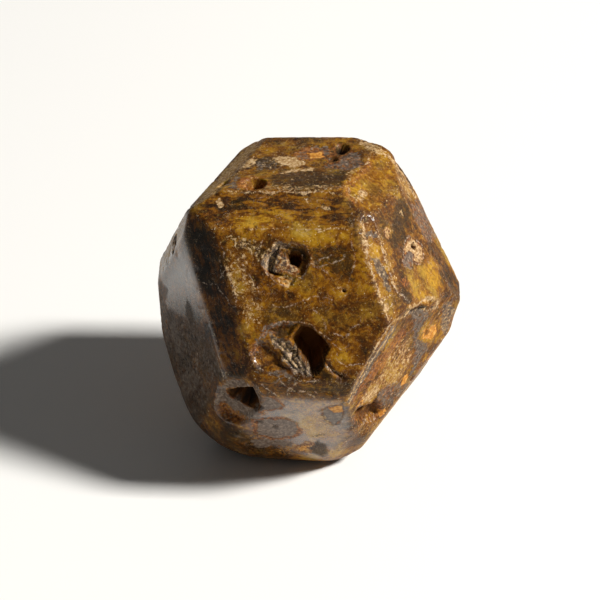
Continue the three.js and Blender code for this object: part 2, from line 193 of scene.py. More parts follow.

# The stains and crusts on each face, with some painted shade, painted highlights and painted reflections
# among them: an outline, and what is set inside it to how much.
PATCHES = {
    "front": [
        ([(-1.0, 4.1), (4.7, 4.1), (5.0, 3.2), (5.2, 0.6), (3.5, 1.4), (1.0, 2.6)], dict(dark=0.58)),
        ([(-6.1, 4.7), (-4.0, 4.7), (-2.4, 3.7), (-2.5, 2.5), (-3.7, 3.2), (-5.9, 4.1)],
         dict(dark=0.60, pale=0.42)),
        ([(-6.2, 3.6), (-4.2, 3.6), (-3.7, 1.3), (-2.9, -1.3), (-2.9, -3.4), (-4.1, -3.4), (-4.8, -0.7),
          (-5.9, 2.0)], dict(pale=0.40, gold=0.56, dark=0.36)),
        ([(-2.6, 5.5), (5.0, 5.5), (4.7, 4.2), (0.3, 4.2), (-2.1, 4.5)], dict(gold=0.76, dark=0.10)),
        (AMBER_STRIPE, dict(gold=0.58, dark=0.08, rust=0.30)),
        ([(-0.7, 0.4), (1.7, 0.4), (2.2, -1.6), (2.0, -3.0), (0.1, -1.2)], dict(gold=0.60, dark=0.12)),
        ([(3.2, -5.1), (5.5, -5.0), (5.1, -5.9), (4.2, -7.3), (3.2, -6.6)], dict(gold=0.66)),
        ([(2.2, -1.1), (4.9, -0.7), (5.7, -3.1), (3.6, -3.1)], dict(dark=0.40, gold=0.42)),
        ([(-3.7, 1.3), (-2.9, 1.0), (-2.2, -0.6), (-2.9, -1.2), (-3.4, 0.4)], dict(dark=0.42, gold=0.38)),
        (oval((-1.0, -1.9), (0.8, 0.5)), dict(dark=0.52)),
        ([(-7.0, 4.8), (-6.3, 4.8), (-5.2, -2.0), (-4.0, -6.5), (-5.5, -7.0), (-6.6, 0.0)],
         dict(dark=0.48, gold=0.36)),
        (oval((4.0, 0.0), (0.5, 0.7)), dict(pale=0.36, gold=0.66)),
        (band([(-6.1, 2.4), (-5.7, 0.7), (-5.0, -0.7)], 0.30), dict(pale=0.54, grey=0.50)),
        (band(closed(CUP), 0.13), dict(rust=0.60, grey=0.50, pale=0.46, dark=0.30)),
        (CUP_RING, dict(grey=0.86, pale=0.44, dark=0.30)),
        (CUBE_TOP, dict(grey=0.48, rust=0.74, pale=0.42, dark=0.20)),
        (CUP_CHIPS, dict(gold=0.9, dark=0.0, pale=0.52, orange=0.50, rough=0.3)),
        (SCOOP, dict(gold=0.46, gloss=0.15)),
        (SCOOP_RIM, dict(rust=0.56, grey=0.54, dark=0.44, pale=0.24, rough=0.6)),
        ([(-1.8, -3.5), (-1.1, -3.3), (-0.6, -3.8), (-1.1, -4.2), (-1.6, -4.0)], dict(dark=0.90)),
        (LEDGE, dict(grey=0.96, pale=0.44, rust=0.30, rough=0.7, gloss=0.0)),
        ([(-4.0, -6.8), (-1.0, -6.8), (0.5, -7.6), (-1.0, -8.5), (-4.6, -8.5)], dict(grey=0.60)),
        (SLIVER, dict(pale=0.44, grey=0.60)),
        # Painted highlight: a pale line along the front face's upper edge.
        (band([(-7.2, 5.5), (-5.6, 5.4), (-2.9, 5.4), (2.1, 5.3), (5.2, 5.4)], 0.09), dict(pale=0.74)),
    ],
    "right": [
        ([(2.9, 4.5), (3.6, 4.1), (2.4, 2.5), (1.7, 2.0), (0.1, 1.7), (-1.1, 1.4), (-2.3, 2.0), (-1.0, 2.8),
          (0.3, 4.2), (1.7, 4.7)], dict(dark=0.64)),
        ([(3.2, -2.3), (3.3, -3.6), (2.3, -4.2), (2.0, -3.3)], dict(dark=0.62)),
        ([(-2.0, 5.2), (-2.9, 2.6), (-3.4, 0.9), (-3.8, -1.8), (-4.3, -1.8), (-4.0, 0.9), (-3.4, 3.0),
          (-2.6, 5.2)], dict(dark=0.46)),
        ([(-2.6, -0.9), (-1.0, -1.3), (0.4, -1.5), (1.6, -1.0), (1.8, -3.4), (-0.4, -3.8), (-2.8, -3.4)],
         dict(gold=0.66, dark=0.10)),
        (INCLUSION, dict(pale=0.62, rust=0.66, grey=0.20)),
        (band(closed(INCLUSION), 0.10), dict(dark=0.56, pale=0.20)),
        (oval((0.5, 0.5), (0.35, 0.30)), dict(dark=1.0, pale=0.0, rust=0.0)),
        ([(-1.0, 0.6), (-0.3, 0.1), (-0.2, -0.5), (-1.0, -0.4), (-1.7, -0.9), (-2.2, -0.4), (-1.9, 0.4)],
         dict(grey=0.66, pale=0.24, dark=0.40)),
        ([(-2.2, 3.5), (-1.3, 3.4), (-1.4, 2.7), (-2.3, 2.6)], dict(pale=0.52, rust=0.60)),
        (oval((1.4, 3.3), (0.45, 0.40)), dict(pale=0.52)),
        ([(-3.9, -0.9), (-2.9, -1.0), (-2.4, -2.0), (-3.7, -1.5)], dict(rust=0.60)),
        (CHIPPED_EDGE, dict(pale=0.40, grey=0.46, rust=0.40, rough=0.65)),
        ([(3.7, -2.4), (3.4, -4.2), (1.8, -5.0), (1.3, -3.9), (2.4, -2.0)], dict(dark=0.56)),
        (oval((-4.1, -2.4), (0.6, 0.7), 10), dict(dark=0.80)),
        (band([(-5.2, -3.6), (-4.3, -3.4), (-2.4, -3.7), (-0.7, -4.4), (-0.2, -5.1), (0.7, -6.0),
               (1.9, -6.5)], 0.26), dict(pale=0.96, dark=0.0, gold=0.8)),
    ],
    "top": [
        ([(-4.2, 1.9), (-3.0, 2.8), (-2.2, 2.0), (-1.9, 0.5), (-3.7, -0.2)], dict(dark=0.62, grey=0.40)),
        ([(-2.7, -0.7), (1.0, -0.2), (4.1, -0.3), (4.5, -3.2), (0.1, -3.6), (-2.2, -3.1)],
         dict(dark=0.62, grey=0.22)),
        ([(-7.2, -1.0), (-5.0, -1.2), (-4.6, -3.4), (-7.0, -3.6)], dict(grey=0.62)),
        ([(-5.3, 2.8), (-3.9, 5.8), (-0.9, 6.2), (-1.0, 3.3), (-3.0, 2.5)], dict(gold=0.60)),
        ([(-6.4, 1.2), (-5.3, 2.3), (-3.9, 2.1), (-4.6, 0.7), (-6.0, 0.4)], dict(pale=0.80)),
        ([(-2.5, 2.5), (-0.8, 2.5), (0.4, 1.1), (-0.6, 0.5), (-1.8, 0.9)], dict(pale=0.88)),
        ([(-2.3, -0.6), (-0.8, 0.0), (1.2, 0.3), (1.2, -0.2), (-0.7, -0.5)], dict(pale=0.74)),
        ([(-3.0, -3.0), (4.0, -3.0), (4.2, -3.9), (-3.0, -3.9)], dict(pale=0.46)),
        (TOP_STAIN, dict(grey=0.54, dark=0.64, rust=0.54, pale=0.16)),
        ([(-0.9, 3.0), (0.1, 4.4), (1.8, 4.1), (2.1, 2.5), (0.8, 1.7), (-0.4, 1.8)],
         dict(rust=0.80, grey=0.40, pale=0.10)),
        ([(0.4, 3.3), (1.6, 3.8), (2.0, 2.4), (0.8, 2.2)], dict(orange=0.72, grey=0.0)),
        ([(4.7, -0.3), (6.1, 2.6), (7.9, 1.2), (5.9, -0.6)], dict(rust=0.56)),
        ([(4.6, 6.4), (5.8, 5.6), (7.9, 2.6), (7.4, 2.0), (5.0, 5.0)], dict(pale=0.60)),
        ([(4.2, -2.3), (4.6, -0.5), (5.9, 1.5), (6.1, 3.3), (8.5, 3.0), (6.5, -5.0), (5.6, -6.5)],
         dict(gold=0.76, dark=0.0, grey=0.0, rust=0.20)),
        (band([(4.2, -2.3), (4.6, -0.5), (5.9, 1.5), (6.1, 3.3), (7.1, 4.4)], 0.10), dict(pale=0.60)),
        (oval((-3.8, -2.5), (1.5, 1.4)), dict(rust=0.54, gold=0.50, grey=0.10)),
        (oval((-6.6, -1.9), (0.9, 0.9)), dict(rust=0.60, grey=0.30)),
        (oval((3.3, 4.1), (1.0, 1.2)), dict(shade=1.0, dark=0.6, rust=0.50, grey=0.0, pale=0.0)),
        (oval((2.7, 2.3), (0.8, 0.7)), dict(shade=1.0, dark=0.6, rust=0.50, grey=0.0, pale=0.0)),
    ],
    "scar": [
        (SCAR_MIDDLE, dict(gold=0.66, pale=0.44, grey=0.20, rust=0.46, dark=0.12)),
        ([(-3.4, 3.2), (-2.2, 4.2), (-0.6, 3.3), (-2.4, 2.0), (-3.6, 0.9), (-5.4, -0.1), (-8.3, -1.4),
          (-6.7, 1.1)], dict(rust=0.66, pale=0.20, gold=0.50, dark=0.40, grey=0.20)),
        ([(-4.0, 5.5), (-2.6, 5.1), (-4.3, 3.6), (-5.6, 1.9), (-8.0, -1.0), (-8.8, -0.5), (-6.2, 2.6)],
         dict(grey=0.66, pale=0.24, rust=0.30, dark=0.44)),
        (SCAR_ARM, dict(grey=0.60, pale=0.20, dark=0.66, rust=0.44)),
        ([(-4.0, -1.9), (-1.5, -2.4), (0.4, -3.4), (2.0, -4.0), (-1.0, -5.8), (-2.8, -4.0), (-3.6, -2.9)],
         dict(grey=0.50, pale=0.28, dark=0.48, rust=0.40)),
        ([(-2.9, -2.3), (-1.1, -3.1), (-1.2, -3.9), (-2.8, -3.1)], dict(rust=0.66, pale=0.16)),
        ([(-5.6, -1.4), (-4.4, -1.0), (-3.4, -1.9), (-4.6, -2.8), (-6.4, -2.2)], dict(pale=0.60)),
        (SCAR_ORANGE, dict(orange=0.80, pale=0.10)),
        (oval((2.5, 1.5), (0.4, 0.5)), dict(orange=0.0, rust=0.90, grey=0.0)),
        (oval((0.5, -3.2), (0.6, 0.5)), dict(orange=0.66)),
        ([(-2.6, -4.9), (-1.6, -5.3), (-1.4, -5.9), (-2.4, -6.2)], dict(orange=0.64)),
        (SCAR_PIT, dict(grey=0.34, pale=0.0, rust=0.56, dark=0.60, shade=0.7)),
        (oval((-4.4, -4.4), (0.7, 0.5)), dict(orange=0.56)),
        (oval((-6.4, -2.0), (0.7, 0.5), 20), dict(orange=0.54)),
        ([(4.0, 4.0), (5.8, 3.0), (7.4, -1.0), (6.2, -1.8), (4.8, 0.4)],
         dict(grey=0.62, pale=0.40, rust=0.52)),
        (CHIP_POCKET, dict(grey=0.60, dark=0.70, pale=0.10)),
        ([(-7.5, -4.9), (-2.6, -6.2), (-3.7, -8.0), (-5.7, -7.6)], dict(gold=0.62, grey=0.10, pale=0.34)),
        (band([(-4.1, 5.9), (-6.4, 3.2), (-7.5, 1.4), (-8.8, -0.5)], 0.16), dict(pale=0.62, rough=0.7)),
        (band([(-3.4, 5.3), (-5.8, 2.6), (-8.2, -0.8)], 0.11), dict(pale=0.70, grey=0.40)),
        (band([(-4.1, 5.9), (-1.9, 5.9), (0.0, 6.2), (1.7, 5.8), (3.5, 4.0)], 0.20), dict(pale=0.66)),
        (band([(-0.8, 5.0), (0.4, 4.9), (2.1, 4.3), (3.6, 3.7)], 0.12), dict(pale=0.60, grey=0.60)),
    ],
    "under": [
        (HOLLOW_UNDER, dict(grey=0.80, gloss=0.30, rust=0.30)),
        ([(-1.2, 3.4), (1.5, 3.7), (3.0, 3.2), (2.4, 1.3), (-0.3, 0.9), (-1.2, 1.8)], dict(grey=0.44)),
        ([(0.5, -0.4), (1.0, 0.8), (2.8, 0.9), (3.4, -1.0), (4.0, -2.6), (2.3, -3.5), (0.8, -2.8)],
         dict(gold=0.70, pale=0.46, gloss=0.75)),
        ([(-5.7, -2.8), (-4.2, -3.5), (-2.9, -4.7), (-1.1, -6.2), (-1.2, -7.2), (-5.2, -7.3), (-6.4, -5.7)],
         dict(gold=0.42, dark=0.48, gloss=0.10)),
        ([(2.6, -6.9), (3.6, -4.4), (5.0, -1.9), (6.5, -0.8), (5.9, -3.3), (4.5, -5.8), (3.6, -7.1)],
         dict(gold=0.76, pale=0.50, rust=0.36, gloss=0.35)),
        (oval((-1.8, -1.7), (2.35, 2.15), 10), dict(rust=0.74, gloss=0.30)),
        (GREAT_OVAL, dict(grey=1.0, gloss=0.60)),
        ([(-3.2, 3.4), (-1.5, 4.1), (-0.7, 3.3), (-0.5, 2.1), (-1.2, 1.4), (-2.7, 0.7)],
         dict(rust=0.74, gloss=0.20)),
        (SECOND_OVAL, dict(grey=0.80, rust=0.50, gloss=0.30)),
        (THIRD_OVAL, dict(grey=0.90, gloss=0.40)),
        *[(band(closed(ring), 0.13), dict(rust=0.56, dark=0.70, grey=0.20, gloss=0.0))
          for ring in (GREAT_OVAL, SECOND_OVAL, THIRD_OVAL)],
        ([(3.2, 2.1), (3.9, 2.6), (4.7, 2.6), (4.6, 1.6), (3.6, 1.3)], dict(orange=0.80, gloss=0.0)),
        (oval((2.0, -2.7), (0.65, 0.30), 10), dict(grey=0.90, dark=0.50, gloss=0.0)),
        ([(-4.2, -4.0), (-2.9, -3.7), (-0.5, -3.9), (-0.6, -5.2), (-2.1, -5.0), (-4.0, -5.4)],
         dict(grey=0.84, rust=0.50, gloss=0.10)),
        ([(-0.5, -4.9), (0.7, -3.8), (2.3, -4.1), (2.9, -5.9), (1.7, -6.0), (-0.4, -5.7)],
         dict(rust=0.66, pale=0.46, gloss=0.15)),
        ([(1.0, -6.0), (1.7, -3.7), (2.4, -4.3), (2.5, -5.9), (1.8, -6.5)],
         dict(dark=0.95, rust=0.0, pale=0.0, gloss=0.0)),
        ([(-0.3, -5.1), (0.6, -4.6), (1.2, -4.8), (1.0, -5.5), (-0.1, -5.7)], dict(orange=0.56, gloss=0.10)),
        (band([(-2.9, 3.8), (-1.0, 4.1), (0.9, 3.9), (2.8, 3.8), (4.6, 4.3)], 0.08), dict(pale=0.60)),
    ],
    "under left": [
        (HOLLOW, dict(grey=0.84, rust=0.46, gloss=0.10)),
        (HOLLOW_HOLE, dict(shade=1.0, grey=0.10, rust=0.56, gold=0.56, dark=0.1, gloss=0.0)),
        (HOLLOW_GROOVE, dict(grey=0.34, rust=0.54, gold=0.56, gloss=0.0)),
        (oval((-2.6, -4.8), (0.7, 1.2), 30), dict(gold=0.56)),
    ],
    "left": [
        # Painted shade: the lower part of this face is painted darker and less glassy, standing in for the
        # reflection of the crystal's shadow on the floor; its grey clouds are its own.
        ([(-7.0, 0.6), (-4.6, -0.8), (-1.9, -0.2), (1.1, 0.4), (4.0, -0.4), (6.1, -2.7), (3.7, -4.3),
          (1.2, -9.7), (-2.1, -14.0), (-7.0, -12.0)], dict(gloss=0.10, dark=0.56, gold=0.34, grey=0.44)),
        ([(-4.0, -8.5), (-0.7, -4.7), (1.5, -5.1), (-1.8, -8.9)], dict(gold=0.46, grey=0.58)),
        (oval((-3.2, -3.2), (0.9, 1.6), 20), dict(grey=0.60)),
        # Painted reflection: a grey and pale band along the right edge, standing in for reflected light
        # running down that edge.
        (band([(4.8, 1.6), (5.6, 0.2), (6.3, -2.6)], 0.4), dict(grey=0.66, pale=0.36)),
        (oval((-0.3, 0.9), (0.85, 1.25), 15), dict(pale=0.40, grey=0.70, gloss=0.30)),
        (oval((-0.3, 0.9), (0.70, 1.10), 15), dict(dark=0.96, grey=0.0, pale=0.0, gloss=0.0)),
        ([(-6.8, 2.6), (-5.4, 1.3), (-4.6, 1.0), (-5.1, -0.4), (-4.6, -4.0), (-5.8, -6.0), (-6.8, 0.0)],
         dict(grey=0.60, rust=0.44, gloss=0.10)),
    ],
    "left high": [
        (SQUIGGLE, dict(dark=1.1, pale=0.0, gloss=0.0, shade=1.0, rough=0.9)),
    ],
    "front top": [
        # Painted highlight along the face's upper edge.
        (band(TOP_EDGE_HIGHLIGHT, 0.09), dict(pale=0.70)),
        ([(-6.7, 3.6), (-6.4, 2.8), (-7.0, 2.3), (-7.2, 3.1)], dict(pale=0.76, grey=0.60)),
        ([(0.4, 3.9), (0.9, 3.5), (1.7, 2.5), (1.1, 2.7), (0.6, 3.3)], dict(pale=0.60, grey=0.50)),
        (oval((2.6, 2.55), (0.4, 0.25), -30), dict(pale=0.56)),
        ([(-6.0, 2.0), (-1.0, 2.2), (2.0, 1.2), (0.0, 0.4), (-5.0, 0.6)], dict(gold=0.66)),
    ],
    "front under": [
        *[(band(line, 0.06), dict(pale=0.60, grey=0.56)) for line in UNDER_VEINS],
        ([(0.9, -3.6), (5.3, -3.6), (4.8, -4.8), (1.7, -4.6)], dict(gold=0.52, grey=0.10)),
        ([(-5.8, -3.2), (-4.5, -3.0), (-3.2, -4.0), (-2.6, -5.2), (-4.5, -5.5)], dict(grey=0.86)),
    ],
    "front left": [
        ([(0.4, -0.3), (1.6, -0.3), (3.8, -5.5), (2.6, -6.5), (1.2, -3.0)],
         dict(gold=0.54, rust=0.36, dark=0.34)),
        (oval((-0.25, 0.0), (0.4, 0.35)), dict(gold=0.60)),
        ([(1.6, 6.0), (3.0, 2.0), (3.4, -2.0), (2.2, -2.0), (1.0, 3.0)], dict(rust=0.36, gold=0.44)),
    ],
    "front right": [
        (band([(1.0, 5.0), (0.1, 3.5), (-0.9, 0.4), (-1.0, -1.9), (-1.2, -5.1)], 0.22), dict(pale=0.66)),
        (band([(2.0, 4.8), (1.2, 1.1), (0.9, -1.5), (1.1, -3.5)], 0.16), dict(pale=0.60)),
        ([(-0.4, 3.2), (0.4, 2.7), (1.3, 2.4), (1.0, 2.0), (0.0, 2.4)], dict(grey=0.66)),
        ([(-0.4, 0.9), (0.2, 0.4), (0.6, -2.4), (0.0, -2.6), (-0.3, -0.5)], dict(grey=0.72, pale=0.36)),
        ([(-0.6, -3.0), (0.8, -3.2), (1.4, -4.4), (-0.2, -5.4)], dict(pale=0.15)),
    ],
    "top right": [
        (band(BRIGHT_RIDGE, 0.45), dict(pale=0.56, rust=0.40, gold=0.80)),
        (band([(-2.4, -0.7), (-0.6, 1.5), (0.9, 1.7), (3.7, 1.3), (5.0, 1.7)], 0.10), dict(pale=0.56)),
        ([(-3.2, 0.6), (-0.9, 1.6), (5.0, 1.4), (3.0, 0.8), (-0.5, 0.7), (-2.8, -0.6)], dict(rust=0.54)),
        ([(-0.6, 0.2), (0.1, 0.0), (-0.4, -0.8), (-2.0, -1.0), (-1.8, -0.4)], dict(pale=0.56, grey=0.40)),
    ],
    "right back": [
        (band([(0.6, 9.1), (3.1, 6.1), (3.0, 4.0), (2.6, 2.4)], 0.5), dict(pale=0.62, rust=0.44)),
        ([(0.5, 9.5), (2.9, 6.3), (3.2, 3.5), (0.5, 3.5), (-2.0, 9.0)], dict(pale=0.44, gold=0.58)),
        ([(-0.4, 3.7), (3.2, 2.2), (3.7, -0.1), (2.6, -1.9), (-0.7, -0.5), (-2.3, 1.5), (-1.9, 2.8)],
         dict(grey=0.53, pale=0.26, dark=0.44, rust=0.54)),
        ([(1.2, -0.8), (3.4, 0.2), (2.2, -6.0), (0.5, -6.0)], dict(pale=0.26, gold=0.62)),
    ],
}

# The faces at the back carry scattered marks of the same kinds, and small pits.
BACK_FACES = ["back left", "back high", "back right", "back low", "left low", "right low"]
BACK_MARKS = [dict(pale=0.52), dict(grey=0.58, rust=0.50, dark=0.46), dict(dark=0.66, pale=0.34),
              dict(rust=0.58, gold=0.60), dict(gold=0.72, dark=0.10), dict(orange=0.60, rust=0.50)]
BACK_SEED = 8
BACK_COUNTS = {"marks": 9, "seams": 4, "pits": 2}  # on each of those faces
MARK_REACH = 5.0  # millimetres each way from the middle of the face
PIT_REACH = 4.0
SEAM_POINTS = 5

# Healed cracks and thin pale seams, and painted highlight lines along two edges: open lines on the faces.
SEAMS_AND_EDGE_HIGHLIGHTS = {
    "front": [
        # Painted highlight: a pale line along the front face's upper edge.
        [(-6.9, 5.45), (-3.0, 5.40), (1.2, 5.35), (5.2, 5.35)],
        [(-6.6, 4.6), (-5.9, 1.8), (-5.1, -1.2), (-4.4, -4.2)],
        [(-4.9, 2.8), (-4.3, 2.0), (-3.7, 1.0), (-3.0, -0.3)],
        [(-2.8, 4.3), (-3.1, 3.6), (-3.4, 3.2)],
        [(1.0, 2.2), (2.0, 2.6), (3.2, 3.2)],
        [(2.2, 2.0), (2.9, 2.4), (4.3, 3.0)],
        [(1.4, 2.3), (2.1, 2.0), (2.9, 1.5)],
        [(-2.1, -1.3), (-0.8, -1.4), (-0.1, -1.2), (0.7, -0.8), (1.7, -0.5), (3.1, -0.8)],
        [(1.7, -1.6), (2.3, -2.2), (2.9, -3.2)],
        [(4.8, 4.6), (5.1, 3.4), (5.2, 2.5), (4.5, 0.6), (4.3, 0.1)],
        [(2.4, -2.6), (2.8, -3.2), (3.3, -3.7), (4.2, -4.0), (5.5, -2.9)],
        [(2.4, -3.8), (3.3, -4.4), (4.0, -5.0)],
        [(3.5, -5.8), (4.5, -6.4), (5.9, -6.4)],
        [(-3.8, -6.3), (-3.4, -6.7), (-2.3, -6.9), (-1.6, -7.8), (-0.7, -8.2)],
        [(-2.0, -4.1), (-0.9, -5.3), (0.2, -6.6), (1.1, -7.4)],
        [(-1.3, -4.2), (-0.3, -5.0), (0.6, -6.4), (1.3, -7.3)],
        [(-2.1, -4.4), (-1.0, -5.7), (0.3, -7.1)],
        [(-2.6, 2.0), (-2.3, 2.9), (-1.6, 3.8), (-0.9, 4.1), (0.1, 3.9)],
        [(-2.5, 1.4), (-1.6, 0.7), (-0.7, 0.4), (0.2, 0.7), (0.9, 1.6), (1.1, 2.4)],
        [(-3.9, -5.8), (-3.4, -4.4), (-2.3, -3.3), (-1.1, -2.6), (0.5, -2.6), (1.5, -3.0), (2.4, -3.8)],
    ],
    "front top": [
        # Painted highlight along the face's upper edge.
        TOP_EDGE_HIGHLIGHT,
        [(4.6, 2.9), (5.1, 1.6), (5.4, 0.2)],
    ],
    "front right": [
        [(1.0, 5.0), (0.2, 3.5), (-0.8, 0.4), (-0.9, -1.9), (-1.2, -5.1)],
        [(1.7, 4.8), (1.0, 1.1), (0.7, -1.5), (0.9, -3.5), (1.0, -5.6)],
    ],
    "top right": [
        [(-2.4, -0.7), (-0.6, 1.5), (0.9, 1.7), (3.7, 1.3), (5.0, 1.7), (6.7, 1.3)],
        BRIGHT_RIDGE,
    ],
    "front left": [
        [(-2.6, 5.9), (-2.1, 4.9), (-1.6, 3.9), (-1.1, 2.1)],
        [(-1.5, 2.7), (-1.0, 3.3), (-0.2, 3.3), (0.2, 2.7), (1.0, 2.4), (0.8, 1.6)],
        [(-0.8, 1.1), (-0.2, 0.6), (0.6, 0.5), (1.3, 0.8)],
        [(0.6, 0.3), (1.4, -0.9), (2.2, -2.1), (3.0, -4.6)],
        [(-3.4, 1.7), (-1.7, 1.7), (-1.1, 1.1)],
    ],
    "front under": UNDER_VEINS + [[(1.6, -3.9), (2.2, -4.7)]],
    "scar": [
        [(-7.1, -4.8), (-4.7, -5.3), (-2.3, -6.4)],
        [(-4.1, 5.9), (-6.4, 3.2), (-8.8, 0.2)],
        [(-3.6, 5.4), (-5.9, 2.7), (-8.4, -0.4)],
        [(-1.6, 5.8), (-0.2, 5.2), (0.4, 4.6)],
        [(-2.5, -2.2), (-1.4, -2.5), (-0.5, -2.9)],
    ],
    "right": [
        [(-6.1, -2.9), (-5.0, -3.2), (-3.4, -3.5), (-1.1, -3.9), (-0.6, -5.0), (0.9, -6.0), (3.0, -5.9)],
        [(-4.6, -1.4), (-4.2, -2.4), (-3.7, -3.4)],
        closed(INCLUSION),
    ],
    "under": [
        [(2.6, 2.7), (3.7, 3.2), (4.9, 3.7)],
        [(-0.7, -0.6), (0.9, 0.5), (2.6, 1.5)],
    ],
    "left": [
        [(2.7, 0.7), (4.4, -0.8), (6.0, -2.6)],
        [(1.0, -2.5), (0.6, -4.7), (1.7, -5.4)],
    ],
}

# Pits and hollows: face, outline, depth, how much each wall leans in for each millimetre of depth,
# and how ragged it is. Sizes in millimetres. The cup comes first, then the crystal in it.
CUP_PIT = ("front", CUP, 0.55, 0.8, 0.10)
PITS = [
    ("front", CUP_HOLE, 2.2, 0.12, 0.06),
    ("front", CUP_CHIPS, 0.28, 0.6, 0.25),
    ("front", SCOOP, 0.50, 0.9, 0.12),
    ("front", UPPER_SCOOP, 0.50, 0.7, 0.10),
    ("front", LEDGE, 0.16, 0.4, 0.25),
    ("front", band([(-1.5, -4.3), (1.0, -7.3)], 0.13), 0.50, 0.25, 0.10),
    ("front", band([(-0.9, -4.3), (1.2, -6.9)], 0.10), 0.40, 0.25, 0.10),
    ("front", band([(-1.9, -4.5), (0.5, -7.2)], 0.10), 0.45, 0.25, 0.10),
    ("front", GREAT_HOLE, 2.9, 0.08, 0.08),
    ("front", SIDE_HOLE, 1.8, 0.10, 0.04),
    ("front", SLIVER, 0.40, 0.5, 0.10),
    ("front", oval((4.2, 0.0), (0.16, 0.16)), 0.5, 0.1, 0.0),
    ("under left", HOLLOW, 0.50, 1.6, 0.12),
    ("under left", HOLLOW_HOLE, 2.8, 0.12, 0.06),
    ("under left", HOLLOW_GROOVE, 0.70, 0.6, 0.05),
    ("under", oval((-3.1, -0.7), (0.35, 0.22)), 0.35, 0.5, 0.05),
    ("under", oval((-1.8, -1.5), (0.18, 0.22)), 0.4, 0.2, 0.0),
    ("top", oval((-3.8, -2.5), (1.2, 1.15)), 1.0, 0.3, 0.20),
    ("top", oval((-6.6, -1.9), (0.7, 0.8)), 0.8, 0.5, 0.12),
    ("top", oval((3.3, 4.1), (0.75, 0.95)), 1.0, 0.4, 0.15),
    ("top", oval((2.7, 2.3), (0.6, 0.55)), 0.7, 0.4, 0.15),
    ("top", TOP_STAIN, 0.18, 0.8, 0.15),
    ("left high", SQUIGGLE, 0.45, 0.2, 0.05),
    ("right", oval((0.5, 0.5), (0.34, 0.30)), 0.8, 0.15, 0.05),
    ("right", CHIPPED_EDGE, 0.50, 0.15, 0.15),
    ("scar", CHIP_POCKET, 0.60, 0.5, 0.10),
    ("scar", SCAR_PIT, 0.80, 0.5, 0.15),
    ("scar", oval((-5.0, -3.6), (0.8, 0.7)), 1.5, 0.4, 0.15),
    ("scar", oval((2.4, 1.5), (0.4, 0.45)), 0.4, 0.6, 0.08),
]


def scatter_back():
    """Marks, seams and pits on each back face. Marks and pits are ovals at random places, and a seam
    is the sum of random steps that all lean one way."""
    chance = np.random.default_rng(BACK_SEED)
    for face in BACK_FACES:
        marks, seams = [], []
        for _ in range(BACK_COUNTS["marks"]):
            middle = chance.uniform(-MARK_REACH, MARK_REACH, 2)
            half = chance.uniform(0.4, 2.0, 2)
            kind = BACK_MARKS[chance.integers(len(BACK_MARKS))]
            marks.append((oval(middle, half, chance.uniform(0, 180)), kind))
        for _ in range(BACK_COUNTS["seams"]):
            start = chance.uniform(-MARK_REACH, MARK_REACH, 2)
            steps = chance.normal(0, 0.5, (SEAM_POINTS, 2)) + chance.normal(0, 0.8, 2)
            seams.append(start + np.cumsum(steps, axis=0))
        for _ in range(BACK_COUNTS["pits"]):
            outline = oval(chance.uniform(-PIT_REACH, PIT_REACH, 2), chance.uniform(0.3, 0.8, 2))
            PITS.append((face, outline, chance.uniform(0.4, 1.0), 0.5, 0.15))
        PATCHES[face] = marks
        SEAMS_AND_EDGE_HIGHLIGHTS[face] = seams


# The small square crystal that stands in the cup: its middle, half its width, and its top's depth.
CUBE_FACE = "front"
CUBE = {"middle": (-0.65, 2.4), "half": 1.06, "turn": -18, "top": -0.05}

GRID = 128  # steps across a panel
FRONT_PULL = 0.35  # how much closer together the rays are towards the front
FRONT = np.array([0.1, -0.86, 0.5])
WALK = 0.75  # share of the field that a ray moves in one step
WALK_STEPS = 60
NOISE_SEEDS = {"streaks": 11, "lumps": 21, "swell": 31, "chips": 41, "wobble": (51, 61)}

# Lengths in millimetres, from the heart where they are places.
FOOT = -HEART[2]
LOW_LEFT = [-9.5, -7.5, -12.0]  # the worn corner
EDGE_ROUND = 0.02
LIP_ROUND = 0.12  # where a pit's wall meets the face
EDGE_REACH = 0.25  # how far wear reaches from an edge
SHARE_REACH = 0.12  # how far a face's share of the looks reaches past its edges
PIT_MARGIN = 1.5  # how far below a pit's floor the field still feels it
SHARP_FADE = 0.15  # how far a patch's edge fades each way
FADES = {"gold": 0.70, "dark": 0.45}
PATCH_RAGGED = 0.45
SEAM_RAGGED = 0.25
NEAR_ENOUGH = 0.002  # how near zero the field is where a ray stops
GRAIN_APART = 7.0  # keeps one face's streaks from running on into the next

# A face's patches and seams are laid where it owns more than these shares of a point, and its
# patches are at full strength from the last one.
PATCH_SHARE = 0.02
SEAM_SHARE = 0.3
WHOLE_PATCH_SHARE = 0.5


# ---- Noise -------------------------------------------------------------------------------------------

def random_at(cells, seed):
    """A number from -1 to 1 for each cell: its whole coordinates times large odd numbers, joined by
    exclusive or, then shifted and multiplied three times."""
    x, y, z = (cells[..., i].astype(np.uint32) for i in range(3))
    mixed = x * np.uint32(0x8DA6B343) ^ y * np.uint32(0xD8163841) ^ z * np.uint32(0xCB1AB31F)
    mixed = mixed ^ np.uint32(seed * 0x9E3779B1 & 0xFFFFFFFF)
    mixed = (mixed ^ mixed >> np.uint32(15)) * np.uint32(0x2C1B3C6D)
    mixed = (mixed ^ mixed >> np.uint32(12)) * np.uint32(0x297A2D39)
    mixed = mixed ^ mixed >> np.uint32(15)
    return mixed / 2.0 ** 31 - 1


def noise(points, scale, seed):
    """Smooth noise from -1 to 1: random values at the corners of cells of that scale, blended by
    6t^5 - 15t^4 + 10t^3 along each side."""
    cells = np.floor(points / scale).astype(np.int64)
    t = points / scale - cells
    fade = t * t * t * (t * (t * 6 - 15) + 10)
    total = np.zeros(points.shape[:-1])
    for corner in np.ndindex(2, 2, 2):
        weight = np.prod(np.where(corner, fade, 1 - fade), axis=-1)
        total += weight * random_at(cells + corner, seed)
    return total


